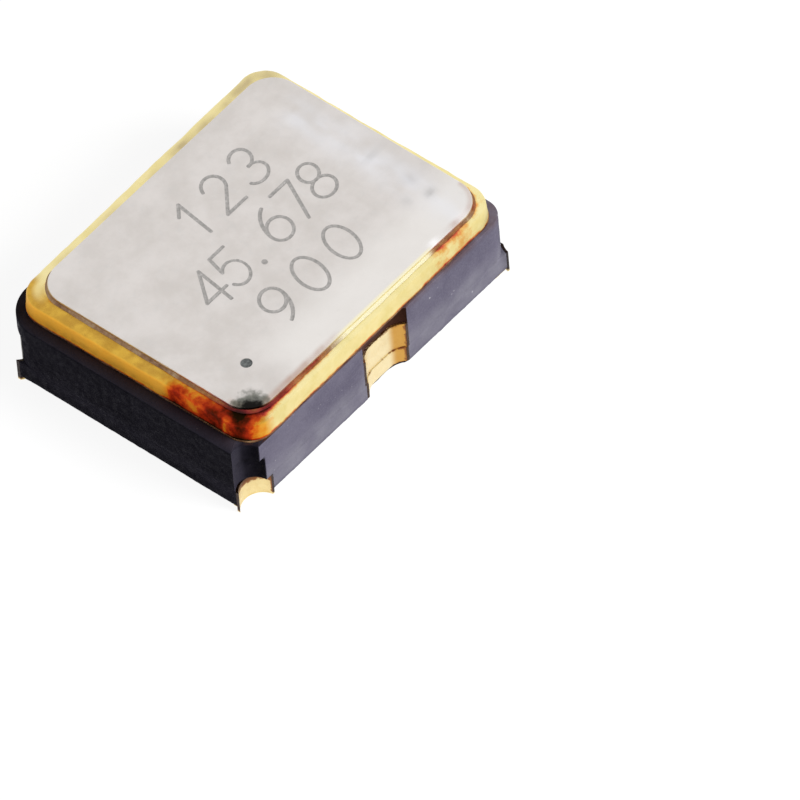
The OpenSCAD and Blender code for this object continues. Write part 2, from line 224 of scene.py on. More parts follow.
SHARP_ANGLE = 38          # degrees between faces from which their edge stays sharp


def add_object(name, data):
    """An object of a mesh, lamp or camera, put into the scene."""
    made = bpy.data.objects.new(name, data)
    bpy.context.scene.collection.objects.link(made)
    return made


def new_piece(name, mesh, materials, replaces=()):
    """Makes an object of a mesh, smooth but for its sharp edges, and hangs it on the frame."""
    piece = add_object(name, mesh)
    mesh.materials.clear()
    for material in materials:
        mesh.materials.append(material)
    mesh.polygons.foreach_set("use_smooth", [True] * len(mesh.polygons))
    mesh.set_sharp_from_angle(angle=math.radians(SHARP_ANGLE))
    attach(piece, "root")
    if replaces:
        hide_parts(*replaces)
    return piece


def mesh_of(name, verts, faces):
    """A mesh in metres from points in mm, with its faces turned outward."""
    mesh = bpy.data.meshes.new(name)
    mesh.from_pydata([(x * MM, y * MM, z * MM) for x, y, z in verts], [], faces)
    bm = bmesh.new()
    bm.from_mesh(mesh)
    bmesh.ops.recalc_face_normals(bm, faces=bm.faces)
    bm.to_mesh(mesh)
    bm.free()
    return mesh


def skin(rows, ring=False, first=0):
    """Points and faces between equal loops. The ends are capped, or joined up for a ring.

    first is the number of points that the mesh already has.
    """
    count, levels = len(rows[0]), len(rows)
    faces = [tuple(first + row % levels * count + i % count
                   for row, i in ((low, k), (low, k + 1), (low + 1, k + 1), (low + 1, k)))
             for low in range(levels if ring else levels - 1) for k in range(count)]
    if not ring:
        faces.append(tuple(range(first + count - 1, first - 1, -1)))
        faces.append(tuple(range(first + (levels - 1) * count, first + levels * count)))
    return [p for row in rows for p in row], faces


def loft(name, rows, ring=False):
    """A closed mesh through equal loops of points."""
    return mesh_of(name, *skin(rows, ring))


def prism(name, outline, z0, z1):
    return loft(name, [[(x, y, z) for x, y in outline] for z in (z0, z1)])


def combine(mesh, operation, *tools):
    """Applies a solid operation to a mesh with one tool mesh after the other."""
    work = add_object("work", mesh)
    helpers = []
    for tool in tools:
        helper = add_object("tool", tool)
        step = work.modifiers.new("step", "BOOLEAN")
        step.object, step.operation, step.solver = helper, operation, "MANIFOLD"
        helpers.append(helper)
    made = bpy.data.meshes.new_from_object(
        work.evaluated_get(bpy.context.evaluated_depsgraph_get()))
    for item in (work, *helpers):
        bpy.data.objects.remove(item)
    for item in (mesh, *tools):
        if item.users == 0:
            bpy.data.meshes.remove(item)
    return made


def set_masks(mesh, **masks):
    """Stores functions of x, y, z in mm on the vertices, for a material to read by name."""
    for name, function in masks.items():
        mask = mesh.attributes.new(name, "FLOAT", "POINT")
        mask.data.foreach_set("value", [
            function(v.co.x / MM, v.co.y / MM, v.co.z / MM) for v in mesh.vertices])


# ------------------------------------------------------------- material kit


def feed(socket, value):
    """Links an input to a node's output, or sets it to a constant."""
    if isinstance(value, bpy.types.NodeSocket):
        socket.id_data.links.new(value, socket)
    else:
        socket.default_value = (*value, 1.0) if socket.type == "RGBA" else value


def add_node(tree, kind, inputs, output=0, **settings):
    """Adds a node, sets or links its inputs by name or number, and gives one of its outputs."""
    node = tree.nodes.new("ShaderNode" + kind)
    for key, value in settings.items():
        setattr(node, key, value)
    for key, value in inputs.items():
        feed(node.inputs[key], value)
    return node.outputs[output] if node.outputs else None


class Finish:
    """A Principled material with short calls for the nodes that vary it."""

    def __init__(self, name, colour, **inputs):
        self.material = bpy.data.materials.new(name)
        self.material.use_nodes = True
        self.shader = self.material.node_tree.nodes["Principled BSDF"]
        self.set("Base Color", colour)
        for key, value in inputs.items():
            self.set(key.replace("_", " ").title().replace("Ior", "IOR"), value)
        self.place = self.add("Mapping", {"Vector": self.add("TexCoord", {}, "Object"),
                                          "Scale": (1 / MM,) * 3})

    def add(self, *node, **settings):
        return add_node(self.material.node_tree, *node, **settings)

    def set(self, name, value):
        feed(self.shader.inputs[name], value)

    def mask(self, name):
        return self.add("Attribute", {}, "Fac", attribute_name=name)

    def noise(self, size, detail=4.0, roughness=0.55, seed=0.0):
        """Noise with lumps of about the given size in mm."""
        place = self.add("Mapping", {"Vector": self.place,
                                     "Location": (seed, seed * 1.7, seed * 2.3)})
        return self.add("TexNoise", {"Vector": place, "Scale": 1 / size, "Detail": detail,
                                     "Roughness": roughness}, "Fac")

    def cells(self, size, seed=0.0):
        """Distance to the nearest of scattered points."""
        place = self.add("Mapping", {"Vector": self.place, "Location": (seed, seed, seed)})
        return self.add("TexVoronoi", {"Vector": place, "Scale": 1 / size}, "Distance")

    def span(self, value, low, high, to_low=0.0, to_high=1.0):
        """Maps low..high of a value to to_low..to_high, smoothly and clamped."""
        return self.add("MapRange", {"Value": value, "From Min": low, "From Max": high,
                                     "To Min": to_low, "To Max": to_high}, "Result",
                        interpolation_type="SMOOTHSTEP")

    def math(self, operation, a, b):
        return self.add("Math", {0: a, 1: b}, operation=operation)

    def ramp(self, value, stops):
        """Colours at given positions, blended between them."""
        colour = self.add("ValToRGB", {"Fac": value}, "Color")
        band = colour.node.color_ramp
        while len(band.elements) < len(stops):
            band.elements.new(0.5)
        for element, (position, stop) in zip(band.elements, stops):
            element.position, element.color = position, (*stop, 1.0)
        return colour

    def mix(self, factor, a, b, share=1.0, blend="MIX"):
        """Colour a with colour b laid over it: factor says how much of b, up to a share."""
        if share < 1.0:
            factor = self.math("MULTIPLY", factor, share)
        return self.add("Mix", {0: factor, 6: a, 7: b}, 2, data_type="RGBA", blend_type=blend)

    def multiply(self, a, b):
        return self.mix(1.0, a, b, blend="MULTIPLY")

    def masked(self, colour, **layers):
        """A colour with more laid over it where masks say: mask=colour or (colour, share)."""
        for name, layer in layers.items():
            over, share = layer if len(layer) == 2 else (layer, 1.0)
            colour = self.mix(self.mask(name), colour, over, share)
        return colour

    def done(self, colour, roughness, *bumps):
        """Sets colour, roughness and layers of bump, each a height and its full range in mm."""
        self.set("Base Color", colour)
        if roughness is not None:
            self.set("Roughness", roughness)
        under = {}
        for height, depth in bumps:
            normal = self.add("Bump", {"Height": height, "Distance": depth * MM, **under},
                              "Normal")
            under = {"Normal": normal}
        self.set("Normal", normal)
        return self.material


# ------------------------------------------------------------- materials


def ceramic_finish():
    """Fine-grained purple-black alumina with pale grains, painted sheen on the lower front wall,
    and painted shade where the mask dark says.
    """
    f = Finish("ceramic", (0.14, 0.13, 0.18), roughness=0.60, specular_ior_level=0.03)
    cloud = f.span(f.noise(0.35, 5.0), 0.3, 0.7)
    base = f.mix(cloud, (0.142, 0.130, 0.186), (0.196, 0.182, 0.244))
    grain = f.span(f.noise(0.018, 3.0, 0.7, seed=3.0), 0.38, 0.72)
    base = f.mix(grain, base, (0.27, 0.26, 0.32), 0.30)
    # pale is painted sheen on the lower front wall, and dark is painted shade
    base = f.masked(base, pale=((0.33, 0.32, 0.37), 0.7), dark=(0.007, 0.006, 0.011))
    speck = f.span(f.cells(0.075, seed=1.3), 0.10, 0.16, 1.0, 0.0)
    gate = f.span(f.noise(0.22, 2.0, seed=8.0), 0.56, 0.66)
    # no pale specks where the painted shade lies
    lit = f.math("SUBTRACT", 1.0, f.mask("dark"))
    speck = f.math("MULTIPLY", f.math("MULTIPLY", speck, gate), lit)
    base = f.mix(speck, base, (0.50, 0.49, 0.54))
    # brown: stains, and painted shade in the side slots under the ring
    base = f.masked(base, brown=(0.10, 0.035, 0.015))
    return f.done(base, f.span(f.noise(0.05, 3.0, seed=5.0), 0.3, 0.7, 0.55, 0.78),
                  (f.noise(0.012, 4.0, 0.7), 0.0025), (f.noise(0.09, 4.0, 0.6, seed=2.0), 0.006))


GOLD = (0.94, 0.82, 0.42)
# Orange gold of the -X bar: heat tint with painted shade in it
DEEP_GOLD = (0.47, 0.240, 0.014)
# Colours that multiply the gold, from untouched to burnt
HEAT_TINTS = [(0.12, (1.0, 1.0, 1.0)), (0.32, (0.94, 0.62, 0.36)), (0.47, (0.82, 0.19, 0.18)),
              (0.62, (0.50, 0.060, 0.110)), (0.76, (0.20, 0.030, 0.055)),
              (0.92, (0.020, 0.014, 0.016))]


def ring_finish():
    """Gold plate with the heat tints of the seam weld, and painted shade on its -X bar and at its
    foot.
    """
    f = Finish("ring_gold", GOLD, metallic=1.0, roughness=0.3)
    gold = f.mix(f.span(f.noise(0.16, 4.0), 0.32, 0.68), GOLD, (0.87, 0.75, 0.34))
    deep = f.mix(f.span(f.noise(0.13, 4.0, seed=5.0), 0.35, 0.68), DEEP_GOLD,
                 (0.67, 0.390, 0.034))
    # the -X bar's upright face gets its own orange, part of the same painted shade
    deep = f.masked(deep, side=(0.84, 0.43, 0.026))
    gold = f.mix(f.mask("deep"), gold, deep)
    gold = f.masked(gold, dull=(0.50, 0.40, 0.22))
    ragged = f.math("ADD", f.mask("scorch"),
                    f.span(f.noise(0.075, 5.0, 0.62, seed=4.0), 0.25, 0.75, -0.14, 0.14))
    satin = f.span(f.noise(0.05, 4.0, seed=6.0), 0.25, 0.75, 0.22, 0.38)
    return f.done(f.multiply(gold, f.ramp(ragged, HEAT_TINTS)),
                  f.math("ADD", satin, f.math("MULTIPLY", f.mask("side"), 0.34)),
                  (f.noise(0.02, 4.0, 0.6), 0.0008), (f.noise(0.12, 3.0, 0.5, seed=9.0), 0.004))


def lid_finish():
    """Satin nickel, faintly mottled, with weld tracks and soot at one corner; painted light makes
    its front part paler and its front edge glint.
    """
    f = Finish("lid_nickel", (0.70, 0.66, 0.63), metallic=1.0, roughness=0.34)
    cloud = f.span(f.noise(0.30, 6.0, 0.62), 0.30, 0.70)
    blotch = f.span(f.noise(0.10, 5.0, 0.7, seed=11.0), 0.50, 0.74)
    base = f.mix(cloud, (0.645, 0.605, 0.575), (0.730, 0.690, 0.665))
    base = f.mix(blotch, base, (0.62, 0.61, 0.60), 0.30)
    # pale is painted light on the lid's front part, and bright is painted glints
    base = f.masked(base, pale=((0.84, 0.81, 0.78), 0.75), streak=((0.84, 0.85, 0.90), 0.7),
                    smudge=((0.40, 0.385, 0.38), 0.6), bright=(1.0, 0.98, 0.98),
                    brown=(0.44, 0.24, 0.16), golden=(0.97, 0.90, 0.60))
    soot = f.math("ADD", f.mask("soot"),
                  f.span(f.noise(0.060, 4.0, 0.6, seed=2.0), 0.25, 0.75, -0.16, 0.16))
    base = f.mix(f.span(soot, 0.10, 0.60, 0.0, 0.80), base, (0.085, 0.095, 0.072))
    base = f.mix(f.span(soot, 0.55, 0.95), base, (0.012, 0.011, 0.010))
    return f.done(base, f.span(f.noise(0.12, 5.0, seed=7.0), 0.3, 0.7, 0.28, 0.42),
                  (f.noise(0.014, 4.0, 0.7), 0.0007), (f.noise(0.25, 3.0, 0.5, seed=4.0), 0.004))


def weld_finish():
    """Thin oxidised line where the lid is welded to the ring."""
    f = Finish("weld_oxide", (0.30, 0.18, 0.10), metallic=0.7, roughness=0.45)
    base = f.ramp(f.noise(0.10, 5.0, 0.65), [
        (0.28, (0.13, 0.055, 0.028)), (0.50, (0.34, 0.20, 0.11)), (0.74, (0.54, 0.42, 0.26))])
    base = f.masked(base, clean=(1.0, 0.93, 0.62))
    return f.done(f.multiply(base, f.ramp(f.mask("scorch"), HEAT_TINTS)), None,
                  (f.noise(0.015, 4.0), 0.002))


def clouded_finish(name, colour, clouds, stops, grain, depth, **shader):
    """A finish whose colour clouds through a few stops, over a fine bump."""
    f = Finish(name, colour, **shader)
    return f.done(f.ramp(f.noise(*clouds), stops), None, (f.noise(*grain), depth))


def mark_finish():
    """Bare floor of the engraved strokes: dull grey with paler fringes."""
    stops = [(0.30, (0.34, 0.33, 0.315)), (0.55, (0.46, 0.44, 0.425)), (0.75, (0.60, 0.58, 0.56))]
    return clouded_finish("mark_grey", (0.42, 0.40, 0.38), (0.03, 3.0, 0.7), stops,
                          (0.012, 3.0), 0.0015, metallic=0.8, roughness=0.5)


def dot_finish():
    """Floor of the round pit that marks pin 1."""
    stops = [(0.35, (0.09, 0.10, 0.10)), (0.7, (0.24, 0.255, 0.25))]
    return clouded_finish("mark_dark", (0.12, 0.13, 0.13), (0.02, 3.0), stops,
                          (0.01, 3.0), 0.001, metallic=0.4, roughness=0.55)


def braze_finish():
    """Brown braze foot: dull gold in places, dark red-brown in others."""
    stops = [(0.30, (0.075, 0.025, 0.018)), (0.50, (0.22, 0.095, 0.045)),
             (0.72, (0.46, 0.28, 0.13))]
    return clouded_finish("braze", (0.20, 0.10, 0.05), (0.12, 5.0, 0.6), stops,
                          (0.02, 4.0), 0.003, metallic=0.6, roughness=0.5)


def plated_finish(name, colour, stain):
    """Plated thick film: soft gold, a little rough, stained along its edges, with painted shade
    where its orange, black and stain masks say.
    """
    f = Finish(name, colour, metallic=1.0, roughness=0.36)
    darker = tuple(c * k for c, k in zip(colour, (0.86, 0.78, 0.62)))
    base = f.mix(f.span(f.noise(0.12, 5.0, 0.6), 0.32, 0.70), colour, darker)
    # orange is painted shade on the slot's wall turned away from the lamp
    base = f.masked(base, pale=(0.93, 0.79, 0.48), orange=(0.62, 0.32, 0.055))
    ragged = f.math("ADD", f.mask("stain"),
                    f.span(f.noise(0.035, 4.0, 0.6, seed=3.0), 0.3, 0.7, -0.25, 0.25))
    base = f.mix(f.span(ragged, 0.35, 0.75), base, stain)
    # black: dark cut ends, and painted shade in the linings
    base = f.masked(base, black=(0.010, 0.008, 0.010))
    return f.done(base, f.span(f.noise(0.04, 4.0, seed=2.0), 0.3, 0.7, 0.28, 0.46),
                  (f.noise(0.015, 4.0, 0.7), 0.0015), (f.noise(0.07, 3.0, seed=6.0), 0.004))


def inner_finish(name, colour, metallic, roughness, size, depth, **more):
    """A finish for pieces in the sealed cavity: cloudy colour and a fine bump."""
    f = Finish(name, colour, metallic=metallic, roughness=roughness, **more)
    darker = tuple(c * 0.78 for c in colour)
    return f.done(f.mix(f.span(f.noise(size * 6, 4.0), 0.3, 0.7), colour, darker), None,
                  (f.noise(size, 3.0, 0.6), depth))


# ------------------------------------------------------------- ceramic case


def corner_curve(sx, sy, half_l, half_w, radius, bite):
    """One corner of the case outline, from the end wall's straight to the long wall's.

    radius rounds the corner, and bite (x, y, r) is the circle cut out of it, or None.
    """
    x_side = [(sx * half_l, sy * (half_w - CORNER_REACH))]
    y_side = [(sx * (half_l - CORNER_REACH), sy * half_w)]
    if radius:
        middle = (sx * (half_l - radius), sy * (half_w - radius))
        first = 0 if sx > 0 else 180
        last = 90 if sy > 0 else 270
        if first == 0 and last == 270:
            first = 360
        curve = x_side + arc(*middle, radius, first, last) + y_side
    else:
        tip = [(sx * half_l, sy * half_w)]
        curve = resample(x_side + tip, 24) + resample(tip + y_side, 24)[1:]
    if bite:
        bx, by, br = bite
        curve = resample(curve, CURVE_POINTS)
        keep = [math.dist(p, (bx, by)) >= br for p in curve]
        before = curve[:keep.index(False)]
        after = curve[len(curve) - keep[::-1].index(False):]
        ends = (angle_of((bx, by), bite_edge(curve, k, bite))
                for k in (len(before), len(curve) - len(after)))
        inward = angle_of((bx, by), (0, 0))
        a0, a1 = (inward + (a - inward + 180) % 360 - 180 for a in ends)
        curve = before + arc(bx, by, br, a0, a1) + after
    return curve


def bite_edge(curve, index, bite):
    """Where the curve crosses a bite's circle, between two of its points."""
    (ax, ay), (bx, by) = curve[index - 1], curve[index]
    low, high = 0.0, 1.0
    inside_low = math.dist((ax, ay), bite[:2]) < bite[2]
    for _ in range(30):
        t = (low + high) / 2
        inside = math.dist((ax + (bx - ax) * t, ay + (by - ay) * t), bite[:2]) < bite[2]
        low, high = (t, high) if inside == inside_low else (low, t)
    return (ax + (bx - ax) * low, ay + (by - ay) * low)


def case_outline(half_l, half_w, corners, slot_r):
    """The case's outline at one level, with a fixed number of points for each feature.

    corners gives (radius, bite) for the corners (-,-), (+,-), (+,+), (-,+).
    """
    curves = [corner_curve(sx, sy, half_l, half_w, *spec)
              for (sx, sy), spec in zip(CORNERS, corners)]
    curves[1].reverse()
    curves[3].reverse()
    front = side_slot(-1, slot_r, half_w)
    back = list(reversed(side_slot(1, slot_r, half_w)))
    # each feature, its number of points, and the number on the straight that follows
    features = [(curves[0], 90, 90), (front, 90, 90), (curves[1], 60, 120),
                (curves[2], 60, 90), (back, 90, 90), (curves[3], 90, 120)]
    loop = []
    for k, (points, count, straight) in enumerate(features):
        follow = features[(k + 1) % len(features)][0][0]
        loop += resample(points, count + 1)[:-1]
        loop += resample([points[-1], follow], straight + 1)[:-1]
    return loop


def side_slot(side, r, half_w):
    """The wall of a side slot, from its -X end to its +X end."""
    cy = SLOT_Y[side]
    inward = -90 * side
    half = math.degrees(math.acos((abs(cy) - half_w) / r))
    left = arc(SLOT_X - SLOT_HALF_FLAT, cy, r, inward - side * half, inward)
    right = arc(SLOT_X + SLOT_HALF_FLAT, cy, r, inward, inward + side * half)
    return left + right


def hole(sx, sy):
    """The plated hole at a corner, as (x, y, radius)."""
    return (sx * HALF_L + HOLE_DX, sy * HALF_W + HOLE_DY[sy], CORNER_R)


def base_outline(inset=0.0):
    """The outline of the base layer, where each corner keeps a share of its plated hole."""
    holes = [(0, hole(sx, sy)) for sx, sy in CORNERS]
    return case_outline(HALF_L - inset, HALF_W - inset, holes, SLOT_R)


def upper_outline(hollow, pin_4_bite):
    """The outline of a layer above the base: round corners, and the marked one hollowed."""
    corners = [(0, hollow), (UPPER_R[1, -1], None), (UPPER_R[1, 1], None),
               (UPPER_R[-1, 1], pin_4_bite)]
    return case_outline(HALF_L, HALF_W, corners, SLOT_R + SLOT_STEP)


def case_wall_rows():
    """Loops across the underside, then up the wall: scored foot, three layers, top edge."""
    rows = [[(x * k, y * k, Z_BASE) for x, y in base_outline(SCORE)]
            for k in (0.05, 0.20, 0.40, 0.60, 0.78, 0.90, 0.97)]
    base = base_outline()
    middle = upper_outline(HOLLOW, hole(-1, 1))
    top = upper_outline(FRAME_HOLLOW, None)

    def add(loop, z, off=0.0, rough=0.0012):
        rows.append(roughened(loop, z, rough, 1.0, lump=0.07, level=z, off=off))

    for inset, rise in ((SCORE, 0.0), (0.026, 0.003), (0.018, 0.011), (0.010, 0.019),
                        (0.004, 0.025)):
        add(base_outline(inset), Z_BASE + rise, 0.0, 0.004)
    for z in spaced(Z_BASE + 0.034, Z_FLOOR - 0.010, 9):
        add(base, z)
    add(base, Z_FLOOR - 0.003, 0.0015)
    add(middle, Z_FLOOR + 0.002, 0.0015)
    for z in spaced(Z_FLOOR + 0.008, Z_SHELF - 0.006, 6):
        add(middle, z)
    add(middle, Z_SHELF, 0.001)
    for z in spaced(Z_SHELF + 0.006, Z_LEDGE - 0.030, 6):
        add(middle, z)
    add(top, Z_LEDGE + 0.004, 0.001)
    for z in spaced(Z_LEDGE + 0.012, Z_TOP - 0.012, 8):
        add(top, z)
    for off, drop in ((0.0012, 0.006), (0.004, 0.002), (0.009, 0.0)):
        add(top, Z_TOP - drop, off)
    return rows


def spaced(low, high, count):
    return [low + (high - low) * k / (count - 1) for k in range(count)]


def cavity_rows(count):
    """Loops of some points down the stepped cavity, from its opening to the chip's pocket."""
    rows = []
    for shape, high, low in ((CAVITY, Z_TOP, Z_LEDGE), (WELL, Z_LEDGE, Z_SHELF),
                             (POCKET, Z_SHELF, Z_FLOOR)):
        loop = resample(rounded_loop(shape, 40, 120), count, closed=True)
        rows.append([(x, y, high - 0.001) for x, y in loop])
        rows.append([(x, y, low) for x, y in loop])
    return rows


def ceramic_masks(mesh):
    """Where the case has painted shade, painted sheen or stains, by place."""
    def in_slot(x, y):
        return (abs(x - SLOT_X) < SLOT_HALF_FLAT + SLOT_R
                and HALF_W - 0.2 < abs(y) < HALF_W - 0.004)

    def dark(x, y, z):
        """Painted shade: the end wall by the marked corner, which faces -X, is darkened, less in a
        band round z = 0.19, and so are its hollow, most on the side that faces -X, its ledge and
        the ceramic in the side slots; the front corner at +X is a little darker too.
        """
        if z < Z_UNDER:
            return 0.0
        cx, cy, r = HOLLOW if z < Z_LEDGE else FRAME_HOLLOW
        if z > Z_FLOOR and abs(math.hypot(x - cx, y - cy) - r) < 0.012:
            return 0.82 + 0.12 * smoothstep(0.030, 0.075, x - cx)
        if z > Z_TOP - 0.003:
            return 0.86 * smoothstep(-1.05, -1.15, x)
        if x > END_X:
            if in_slot(x, y):
                return 0.80 + 0.18 * smoothstep(0.0, 0.2, x - SLOT_X)
            right_corner = smoothstep(HALF_L - 0.16, HALF_L - 0.04, x)
            return 0.35 * right_corner * (1 - smoothstep(-1.15, -0.70, y))
        band = bell(z, 0.19, 0.06)
        return min(1.0, 0.86 - 0.24 * band + 0.08 * fractal(x, y, z, 0.25, seed=5.0))

    def pale(x, y, z):
        """Painted sheen: the lower half of the front wall, which faces the lamp, is paler."""
        if y > -HALF_W + 0.04 or x < END_X or z < Z_UNDER:
            return 0.0
        low = smoothstep(0.04, 0.10, z) * (1 - smoothstep(0.24, 0.42, z))
        return max(0.0, low * (0.55 + 0.5 * fractal(x, y, z, 0.2, seed=8.0)))

    def brown(x, y, z):
        """Stain beside the braze and down from its foot; in the side slots under the ring, brown
        painted shade of the ring's overhang.
        """
        if z < Z_UNDER:
            return 0.0
        gap = -ring_depth(x, y) - BRAZE_RIM
        beside = smoothstep(0.03, 0.0, gap) * smoothstep(Z_TOP - 0.004, Z_TOP, z)
        ragged = 0.6 + 0.6 * fractal(x, y, z, 0.15, seed=3.0)
        run = smoothstep(Z_TOP - 0.07, Z_TOP, z) * smoothstep(0.1, 0.5, x) * (y < 0)
        return clamped(max(beside * ragged, 0.55 * in_slot(x, y) * (z > Z_LEDGE),
                           0.45 * run * ragged))

    set_masks(mesh, dark=dark, pale=pale, brown=brown)


def make_ceramic():
    wall = case_wall_rows()
    mesh = loft("ceramic_case", wall + cavity_rows(len(wall[-1])))
    ceramic_masks(mesh)
    return new_piece("ceramic_case", mesh, [ceramic_finish()], ["ceramic_body"])


# ------------------------------------------------------------- ring, braze and weld


def rounded_steps(r, count=5):
    """Offsets inward and down from a sharp corner that round it with radius r."""
    turn = [math.pi / 2 * k / (count - 1) for k in range(count)]
    return [(r - r * math.cos(a), r - r * math.sin(a)) for a in turn]


HEAT_SPOTS = (
    # x, y, reach along x, reach along y, strength: scorch marks of the weld
    (-1.47, -0.46, 0.10, 0.10, 0.62), (-1.44, -0.68, 0.14, 0.15, 0.42),
    (-1.46, -0.88, 0.11, 0.13, 0.70), (-1.36, -1.06, 0.10, 0.09, 0.72),
    (-1.37, -0.99, 0.05, 0.10, 0.34), (-1.478, -0.95, 0.020, 0.022, -0.45),
    (-1.500, -1.085, 0.060, 0.065, 0.44), (-1.46, -1.19, 0.06, 0.05, 0.10),
    (-1.45, -1.14, 0.09, 0.09, 0.36), (-1.28, -1.20, 0.10, 0.06, 0.12),
    (-1.20, -1.15, 0.13, 0.055, 0.52), (-0.98, -1.16, 0.18, 0.040, 0.46),
    (-0.62, -1.15, 0.20, 0.035, 0.48), (0.86, -1.18, 0.060, 0.040, 0.22),
    (1.00, -1.18, 0.20, 0.038, 0.40), (1.14, -1.18, 0.070, 0.040, 0.18),
    (1.34, -1.10, 0.08, 0.06, 0.46), (1.43, -0.97, 0.05, 0.09, 0.46),
)
TARNISH_SPOTS = (
    # the same for the dull places along the lid's far edge
    (1.24, 1.125, 0.15, 0.045, 0.80), (1.45, 1.02, 0.08, 0.09, 0.60),
    (1.00, 1.110, 0.06, 0.030, 0.35), (0.74, 1.105, 0.11, 0.035, 0.75),
    (0.46, 1.110, 0.13, 0.040, 0.70), (0.12, 1.100, 0.08, 0.030, 0.30),
    (-0.45, 1.100, 0.15, 0.030, 0.35), (-0.95, 1.095, 0.12, 0.030, 0.30),
)


def weld_heat(x, y, z):
    """How strongly the seam weld scorched a place."""
    return clamped(spot_level(HEAT_SPOTS, x, y))


def clean_seam(x, y):
    """1 along the stretch of the -Y side where the weld left no oxide."""
    return smoothstep(-0.45, -0.20, x) * (1 - smoothstep(0.74, 0.84, x)) * (y < -0.9)


def ring_masks(mesh):
    """Heat tints of the weld, with painted shade at the foot, and the deeper colour of the end
    that faces -X, partly heat tint and partly painted shade.
    """
    def scorch(x, y, z):
        """The scorch marks and a line beside the lid, darker towards -X; at the foot, painted
        shade where the ring meets the braze.
        """
        beside_lid = 1 - smoothstep(0.0, 0.035, abs(depth_inside(LID, x, y)))
        left = smoothstep(-1.20, -1.32, x) + smoothstep(-0.3, -0.5, x) * (y < 0)
        line = (0.25 + 0.2 * min(1.0, left)) * (1 - clean_seam(x, y)) * beside_lid
        # painted shade: the ring's lowest part is darkened with the heat tints
        foot = 1 - smoothstep(0.0, 0.022, z - Z_RING)
        return min(1.0, weld_heat(x, y, z) + line * (z > Z_LID - 0.01) + 0.42 * foot)

    def deep(x, y, z):
        """Deep, darker orange gold along the -X bar, fading on top at its far corner: partly heat
        tint, partly painted shade on the end away from the lamp.
        """
        outer = smoothstep(0.10, 0.03, ring_depth(x, y))
        fade = smoothstep(0.90, 1.10, y) * (0.80 - 0.80 * outer)
        return 0.92 * smoothstep(-1.18, -1.30, x) * (1 - fade)

    def side(x, y, z):
        """The ring's upright outer face."""
        return smoothstep(0.012, 0.0, ring_depth(x, y))

    def dull(x, y, z):
        """Tarnish along the lid's far edge and round its far corner."""
        far = smoothstep(0.9, 1.1, y) * smoothstep(-1.35, -1.20, x)
        ragged = 1.0 + 0.5 * fractal(x, y, z, 0.10, seed=7.0)
        return min(0.9, 0.15 * far + clamped(spot_level(TARNISH_SPOTS, x, y)) * ragged)

    set_masks(mesh, scorch=scorch, deep=deep, dull=dull, side=side)


def make_ring():
    """Flat bar round the lid: flared foot, slightly waved side, rounded upper edge."""
    section = [(0.013, Z_RING, 0.003), (0.011, Z_RING + 0.008, 0.003)]
    section += [(0.009 * (1 - t), Z_RING + 0.018 + t * (Z_LID - RING_EDGE - Z_RING - 0.018), 0.003)
                for t in spaced(0.0, 1.0, 8)]
    section += [(-inward, Z_LID - down, 0.006) for inward, down in rounded_steps(RING_EDGE)[1:]]
    section += [(-inset, Z_LID, 0.001) for inset in (0.04, 0.06, 0.08, 0.10, 0.13)]
    rows = [roughened(ring_loop(grown(RING, growth)), z, rough, 2.0)
            for growth, z, rough in section]
    rows += [roughened(ring_loop(RING_OPENING), z, 0.001, 3.0) for z in (Z_LID, Z_RING)]
    mesh = loft("gold_ring", rows, ring=True)
    ring_masks(mesh)
    return new_piece("gold_ring", mesh, [ring_finish()], ["seal_ring"])


def make_braze():
    """Thin foot of braze that creeps out past the ring, and ends at the ceramic's edge."""
    outer = grown(RING, BRAZE_RIM)
    edge = HALF_W - 0.001
    section = [(0.0, Z_TOP, 0.006), (0.0, Z_TOP + 0.006, 0.006), (-0.006, Z_RING - 0.003, 0.005),
               (-0.014, Z_RING, 0.003)]
    rows = [roughened(ring_loop(grown(outer, g)), z, rough, 5.0) for g, z, rough in section]
    rows = [[(x, max(-edge, min(edge, y)), z) for x, y, z in row] for row in rows]
    rows += [roughened(ring_loop(RING_OPENING), z, 0.0, 5.0) for z in (Z_RING, Z_TOP)]
    mesh = loft("braze_foot", rows, ring=True)
    return new_piece("braze_foot", mesh, [braze_finish()], ["ring_braze"])


def make_weld():
    """Narrow fillet that the seam weld leaves along the foot of the lid."""
    section = [(-0.004, Z_LID + 0.001), (-0.004, Z_LID + 0.024), (0.003, Z_LID + 0.020),
               (0.009, Z_LID + 0.009), (0.022, Z_LID + 0.003), (0.024, Z_LID + 0.001)]
    rows = [roughened(rounded_loop(grown(LID, growth)), z, 0.006 * (growth > 0), 6.0)
            for growth, z in section]
    mesh = loft("weld_seam", rows, ring=True)
    set_masks(mesh, scorch=weld_heat, clean=lambda x, y, z: 0.9 * clean_seam(x, y))
    return new_piece("weld_seam", mesh, [weld_finish()])


# ------------------------------------------------------------- lid and its marks


def edge_grid(half, edge):
    """Coordinates across the lid: fine near both edges, even between them."""
    near = [0.0, 0.0015, 0.004, 0.008, 0.013, 0.019, edge, 0.04]
    inner = half - 0.06
    count = int(2 * inner / 0.03)
    middle = [-inner + 2 * inner * k / count for k in range(count + 1)]
    return [-half + d for d in near] + middle + [half - d for d in reversed(near)]


def on_rounded(shape, x, y):
    """Moves a place in the corner squares of a rectangle into its rounded corner."""
    cx, cy, length, width, r = shape
    hl, hw = length / 2, width / 2
    u, v = (abs(x) - (hl - r)) / r, (abs(y) - (hw - r)) / r
    if u > 0 and v > 0:
        u, v = u * math.sqrt(1 - v * v / 2), v * math.sqrt(1 - u * u / 2)
        x = math.copysign(hl - r + u * r, x)
        y = math.copysign(hw - r + v * r, y)
    return cx + x, cy + y


